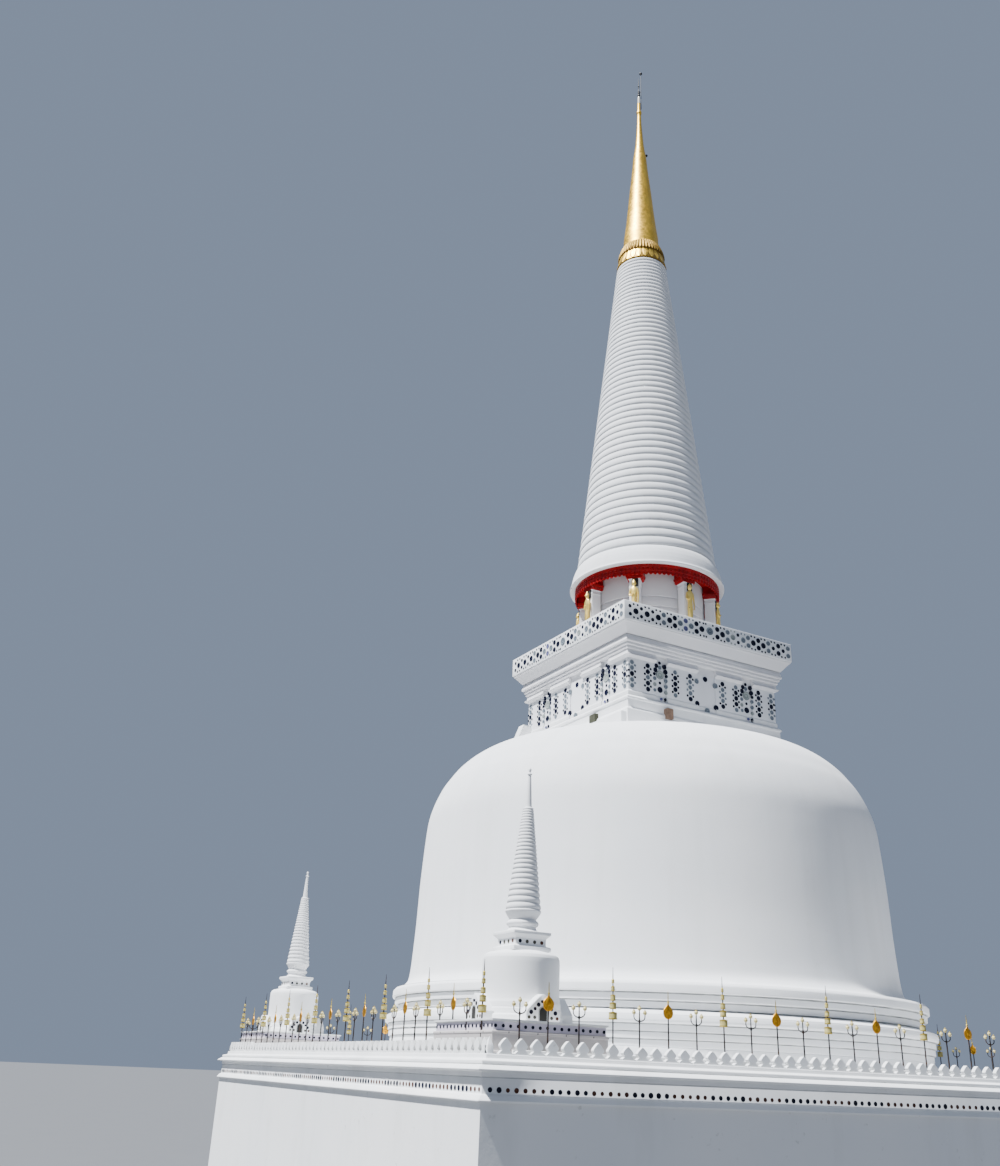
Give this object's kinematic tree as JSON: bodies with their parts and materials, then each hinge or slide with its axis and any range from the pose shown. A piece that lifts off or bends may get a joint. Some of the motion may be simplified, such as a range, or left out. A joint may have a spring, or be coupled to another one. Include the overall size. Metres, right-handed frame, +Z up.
{
  "type": "bell-shaped stupa, 1:2 scale model",
  "caption": "Whitewashed bell-shaped stupa with a tiled throne, a ringed spire and a gilded top, on a square terrace with corner stupas and a row of standards.",
  "frame": {"origin": "on the ground under the axis of the stupa", "axes": "+Z up along the stupa's axis, X and Y square to the terrace's sides, front side facing -Y"},
  "size_m": [13.352, 13.352, 28.09],
  "materials": {
    "limewash": "matte",
    "gold_leaf": "satin",
    "red_paint": "matte",
    "iron_poles": "satin"
  },
  "bodies": {
    "root": {"lower_base": "limewash", "terrace_base": "limewash", "parapet_front": "limewash", "parapet_right": "limewash", "parapet_back": "limewash", "parapet_left": "limewash", "standards_front": "iron_poles", "standards_right": "iron_poles", "standards_back": "iron_poles", "standards_left": "iron_poles", "round_base_lower": "limewash", "round_base_upper": "limewash", "bell": "limewash", "throne_base": "limewash", "throne_wall": "limewash", "throne_cornice": "limewash", "throne_band_front": "limewash", "throne_band_right": "limewash", "throne_band_back": "limewash", "throne_band_left": "limewash", "neck_drum": "limewash", "column_1": "limewash", "figure_1": "gold_leaf", "column_2": "limewash", "figure_2": "gold_leaf", "column_3": "limewash", "figure_3": "gold_leaf", "column_4": "limewash", "figure_4": "gold_leaf", "column_5": "limewash", "figure_5": "gold_leaf", "column_6": "limewash", "figure_6": "gold_leaf", "column_7": "limewash", "figure_7": "gold_leaf", "column_8": "limewash", "figure_8": "gold_leaf", "red_soffit": "red_paint", "ringed_cone": "limewash", "gold_collar": "gold_leaf", "gold_petals": "gold_leaf", "gold_cone": "gold_leaf", "finial": "gold_leaf", "front_left_stupa_pedestal": "limewash", "front_left_stupa_bell": "limewash", "front_left_stupa_throne": "limewash", "front_left_stupa_spire": "limewash", "front_right_stupa_pedestal": "limewash", "front_right_stupa_bell": "limewash", "front_right_stupa_throne": "limewash", "front_right_stupa_spire": "limewash", "back_right_stupa_pedestal": "limewash", "back_right_stupa_bell": "limewash", "back_right_stupa_throne": "limewash", "back_right_stupa_spire": "limewash", "back_left_stupa_pedestal": "limewash", "back_left_stupa_bell": "limewash", "back_left_stupa_throne": "limewash", "back_left_stupa_spire": "limewash"}
  },
  "joints": []
}
